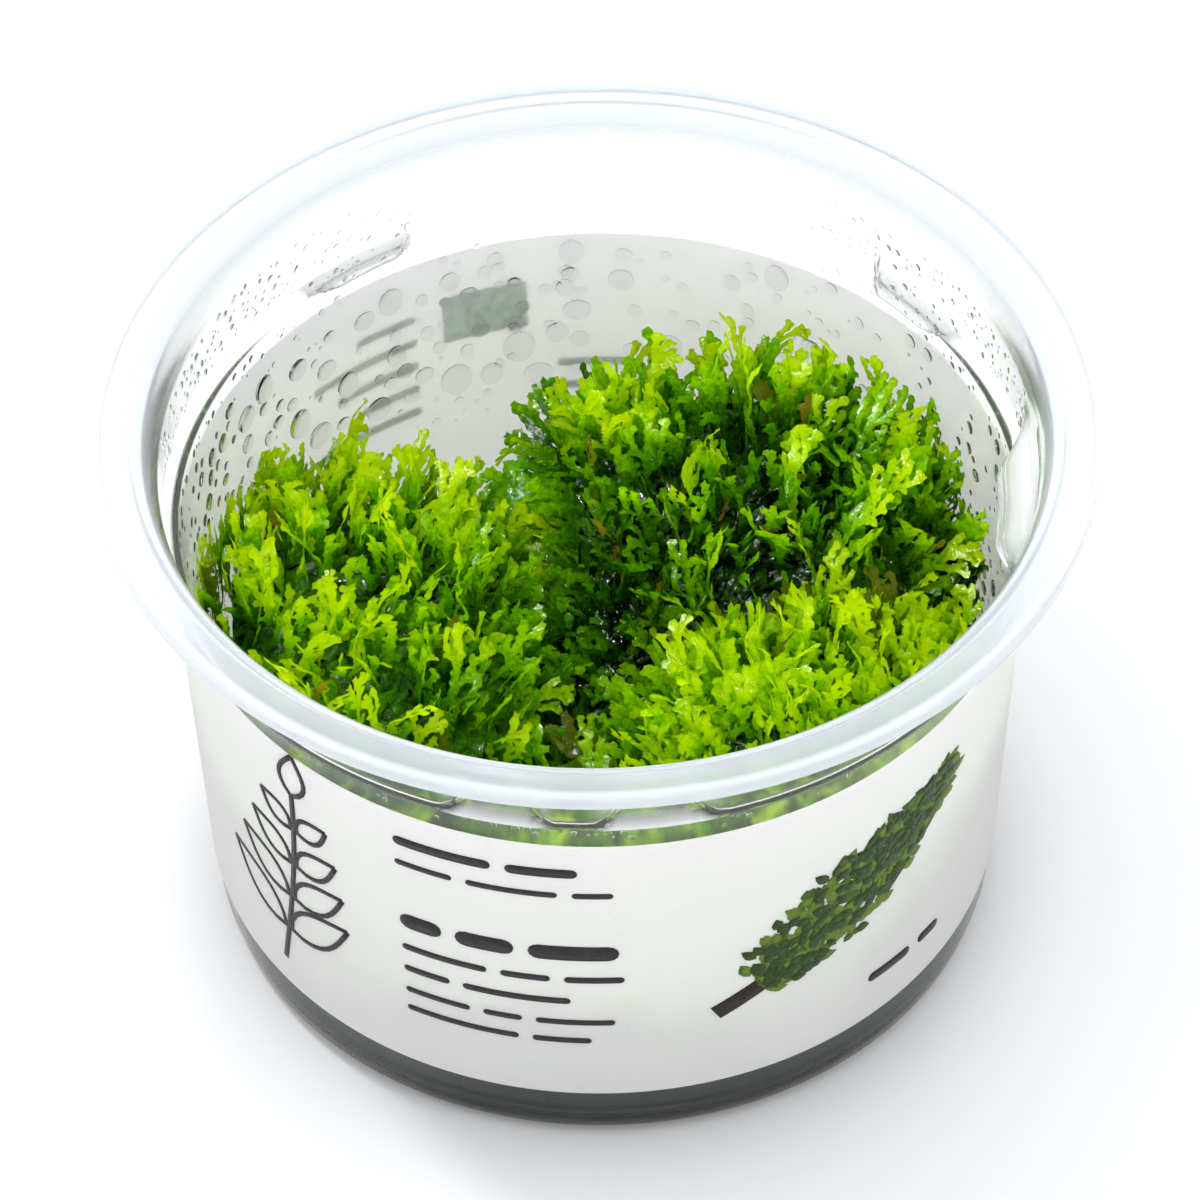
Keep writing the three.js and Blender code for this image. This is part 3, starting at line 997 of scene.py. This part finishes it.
def surface_height(clump, x, y):
    """The height of the mound's top at a place, or that of the gel beside it."""
    out = math.hypot((x - clump["at"][0]) / clump["radius"][0], (y - clump["at"][1]) / clump["radius"][1])
    if out >= 1:
        return GEL_TOP
    return scooped(x, y, CLUMP_BASE + (clump["top"] - CLUMP_BASE) * (1 - out * out) ** (MOUND_POWER / 2))


def reach_to_wall(bearing):
    """How far it is from the hollow to near the wall, in a direction."""
    ahead = np.array((math.cos(bearing), math.sin(bearing)))
    along = float(ahead @ HOLLOW)
    return -along + math.sqrt(along**2 + CORE_RADIUS**2 - HOLLOW[0] ** 2 - HOLLOW[1] ** 2)


CORE_ROWS = 42
CORE_COLUMNS = 84
CORE_START = 0.3  # from the hollow
CORE_UNEVENNESS = 0.9


def core(clump, rng):
    """The matted older growth under the fronds: a closed, uneven wedge that follows the clump's mound."""
    low, high = np.radians(clump["wedge"])
    tops = []
    for i in range(CORE_ROWS + 1):
        for k in range(CORE_COLUMNS + 1):
            bearing = low + (high - low) * k / CORE_COLUMNS
            reach = CORE_START + (reach_to_wall(bearing) - CORE_START) * i / CORE_ROWS
            x, y = HOLLOW[0] + reach * math.cos(bearing), HOLLOW[1] + reach * math.sin(bearing)
            tops.append((x, y, max(surface_height(clump, x, y) - CORE_SHRINK, GEL_TOP + 0.4)))
    count = len(tops)
    tops = np.array(tops) + rng.uniform(-CORE_UNEVENNESS, CORE_UNEVENNESS, (count, 3))
    feet = np.column_stack([tops[:, :2], np.full(count, GEL_TOP - 0.05)])
    points = kept_inside(np.vstack([tops, feet]), 1.2)
    triangles = []
    for i in range(CORE_ROWS):
        for k in range(CORE_COLUMNS):
            a = i * (CORE_COLUMNS + 1) + k
            b = a + CORE_COLUMNS + 1
            triangles += [(a, b, b + 1), (a, b + 1, a + 1)]
    faces = triangles + [(a + count, c + count, b + count) for a, b, c in triangles]
    for a, b in open_edges(triangles):
        faces += [(b, a, a + count), (b, a + count, b + count)]
    # A dark tone: partly the older growth's own, partly painted shade of the depths under the fronds.
    tint = rng.uniform(0, 0.4, len(points))
    shade = np.column_stack([tint, rng.uniform(0, 0.3, len(points)), np.full(len(points), 0.3)])
    return points, np.array(faces), shade


def frond_root(clump, rng, share, turn):
    """Where a frond leaves the clump's surface, which way that faces, and how high on the mound it is."""
    if rng.random() < SIDE_SHARE:
        hand = rng.choice((0, 1))
        bearing = math.radians(clump["wedge"][hand] + (1, -1)[hand] * 1.5)
        reach = 0.92 * reach_to_wall(bearing) * rng.random()
        x, y = HOLLOW[0] + reach * math.cos(bearing), HOLLOW[1] + reach * math.sin(bearing)
        height = rng.uniform(0.05, 0.95)
        z = GEL_TOP + (surface_height(clump, x, y) - CORE_SHRINK - GEL_TOP) * height
        out = np.array((math.sin(bearing), -math.cos(bearing), 0)) * (1, -1)[hand]
        # Painted shade: side fronds, facing the neighbouring clump, are kept dark.
        return np.array((x, y, z)), out, 0.35 * height
    up = (1 - share * 0.96) ** rng.choice((1, 1.67))
    around = math.sqrt(1 - up * up)
    direction = np.array((around * math.cos(turn), around * math.sin(turn), up))
    normal = direction / (*clump["radius"], clump["top"] - CLUMP_BASE)
    return on_mound(clump, direction), normal / np.linalg.norm(normal), up


def shade_at(place):
    """How much of its lightness a frond keeps at a place under painted shade."""
    kept = 1.0
    for x, y, radius, loss in PAINTED_SHADE_PARTS:
        away = math.hypot(place[0] - x, place[1] - y) / radius
        kept -= loss * math.exp(-away * away)
    return kept


def frond_axes(rng, normal, up):
    """The directions of a frond's width, length and thickness, from the way that its place faces."""
    lean = (0.9 - 0.35 * up) * normal + (0, 0, 0.5 + 0.3 * up) + rng.normal(0, LEAN_SPREAD, 3)
    lean /= np.linalg.norm(lean)
    side = np.cross(lean, FACING * np.array(SEEN_FROM) + rng.normal(0, TURN_SPREAD, 3))
    side /= np.linalg.norm(side)
    return np.stack([side, lean, np.cross(side, lean)])


def fronds(clump, rng, templates, layer):
    """Points, triangles and shades of each frond in a layer of the clump."""
    budget, sizes, depths, brightness = layer
    tried = 0
    while budget > 0:
        tried += 1
        share, turn = SPREAD[0] * tried % 1, 2 * math.pi * (SPREAD[1] * tried % 1)
        root, normal, up = frond_root(clump, rng, share, turn)
        if not in_wedge(clump, root[0], root[1]) or rng.random() > KEPT[0] + KEPT[1] * (normal @ SEEN_FROM):
            continue
        axes = frond_axes(rng, normal, up)
        template, triangles, inside = templates[rng.integers(len(templates))]
        size = rng.uniform(*sizes)
        local = grown(template * (size, size, 1), rng)
        placed = kept_inside(local @ axes + root - axes[1] * rng.uniform(*depths))
        # Painted shade: lighter up the mound, darker in the deeper layer and in the dark parts.
        lightness = (MOUND_SHADE[0] + MOUND_SHADE[1] * up) * brightness * shade_at(root)
        along = template[:, 1] / template[:, 1].max() * lightness
        tint = np.full(len(placed), rng.random())
        yield placed, triangles, np.column_stack([tint, np.clip(along, 0, 1), inside])
        budget -= len(triangles)


def add_clump(clump, kinds):
    rng = np.random.default_rng(clump["seed"])
    parts = [core(clump, rng)]
    for templates, layer in zip(kinds, LAYERS):
        parts += fronds(clump, rng, templates, layer)
    points, faces, shades = zip(*parts)
    starts = np.cumsum([0] + [len(p) for p in points[:-1]])
    faces = [f + start for f, start in zip(faces, starts)]
    mesh = mesh_from(clump["name"] + "_fronds", np.concatenate(points), np.concatenate(faces))
    shades = np.concatenate(shades)
    growth = mesh.color_attributes.new("growth", "FLOAT_COLOR", "POINT")
    growth.data.foreach_set("color", np.column_stack([shades, np.ones(len(shades))]).ravel())
    material = thallus_material("thallus_" + clump["name"], clump["lightness"])
    return add_piece(clump["name"] + "_fronds", mesh, material, [clump["name"]])


def add_clumps():
    rng = np.random.default_rng(5)
    tall = [thallus(rng, (10, 14), (0.75, 0.98)) for _ in range(20)]
    small = [thallus(rng, (4, 6.5), (0.7, 0.95), 1) for _ in range(16)]
    return [add_clump(clump, (tall, small)) for clump in CLUMPS]


# Condensation

def dome(center, out, radius, sides, rings, flatness, rng):
    """A drop on the wall: a shallow closed dome standing out along a direction."""
    out = np.array(out) / np.linalg.norm(out)
    across = np.cross(out, (0, 0, 1.0))
    across /= np.linalg.norm(across)
    up = np.cross(across, out)
    stretch = rng.uniform(0.85, 1.25)
    points = []
    for k in range(rings):
        a = math.pi / 2 * (k / rings) ** 1.6
        for s in range(sides):
            b = 2 * math.pi * s / sides
            r = radius * math.cos(a) ** 0.6
            sideways = across * r * math.cos(b) + up * r * stretch * math.sin(b)
            points.append(center + sideways + out * radius * flatness * math.sin(a))
    points.append(center + out * radius * flatness)
    faces = []
    for k in range(rings - 1):
        for s in range(sides):
            a, b = k * sides + s, k * sides + (s + 1) % sides
            faces.append((a, a + sides, b + sides, b))
    top = rings * sides
    faces += [((rings - 1) * sides + s, top, (rings - 1) * sides + (s + 1) % sides) for s in range(sides)]
    faces.append(tuple(range(sides)))
    return points, faces


DROP_REGIONS = [  # bearings in degrees, heights, how many are tried and their radii
    ((-178, -118), (29, 46), 150, (0.7, 1.8)),
    ((-124, -98), (29, 46), 60, (0.4, 1.0)),
    ((-175, -90), (24, 48), 170, (0.15, 0.6)),
    ((145, 195), (31, 46), 60, (0.5, 1.5)),
    ((95, 150), (26, 47), 120, (0.2, 0.9)),
    ((-155, -95), (51.5, 56.5), 240, (0.15, 0.55)),
    ((100, 150), (51.5, 56.5), 200, (0.15, 0.5)),
    ((-160, 160), (48, 49.2), 170, (0.15, 0.5)),
    ((-60, 60), (47.2, 49.2), 60, (0.15, 0.4)),
]
DROP_SPACING = 1.15  # the least between two drops' centres, as a share of their radii together
DROP_GAP = 0.02  # between a drop and the wall
SMALL_DROP = 0.5
DROP_KINDS = [  # small drops and others: sides, rings and flatness
    (8, 2, (0.3, 0.5)),
    (16, 4, (0.22, 0.34)),
]
WALL_CURVE = 40  # about the wall's radius: a drop is moved in until its rim clears the curve
WALL_SLOPE = (WALL_AT_LEDGE - WALL_AT_CORNER) / (LEDGE_HEIGHT - CORNER_TOP)
NECK_SLOPE = 0.06


def inner_radius(height):
    if height < LEDGE_HEIGHT:
        return wall_inner(height)
    return NECK_BOTTOM - PLASTIC + NECK_SLOPE * (height - NECK_BOTTOM_HEIGHT)


def add_drops():
    """Drops on the cup's inner wall. One too near an earlier one, by bearing and height, is left out."""
    rng = np.random.default_rng(77)
    points, faces, kept = [], [], []
    for bearings, heights, number, radii in DROP_REGIONS:
        for _ in range(number):
            bearing = math.radians(rng.uniform(*bearings))
            z = rng.uniform(*heights)
            wall = inner_radius(z)
            size = radii[0] + (radii[1] - radii[0]) * rng.random() ** 1.5
            if any(math.hypot(bearing * wall - a, z - b) < DROP_SPACING * (size + r) for a, b, r in kept):
                continue
            kept.append((bearing * wall, z, size))
            around = np.array((math.sin(bearing), -math.cos(bearing), 0))
            pressed_in = float(np.ravel(lug_step(0, np.array([math.degrees(bearing)]), z))[0])
            center = around * (wall + pressed_in - DROP_GAP - size * size / (2 * WALL_CURVE)) + (0, 0, z)
            sides, rings, flatness = DROP_KINDS[size >= SMALL_DROP]
            inward = (0, 0, WALL_SLOPE) - around
            corners, sheets = dome(center, inward, size, sides, rings, rng.uniform(*flatness), rng)
            faces += [tuple(v + len(points) for v in sheet) for sheet in sheets]
            points += corners
    mesh = mesh_from("condensation", points, faces)
    mesh.set_sharp_from_angle(angle=math.radians(60))
    return add_piece("condensation", mesh, water())


add_camera()
add_studio()
add_cup()
add_label()
add_label_print()
add_gel()
add_glints(add_clumps())
add_drops()
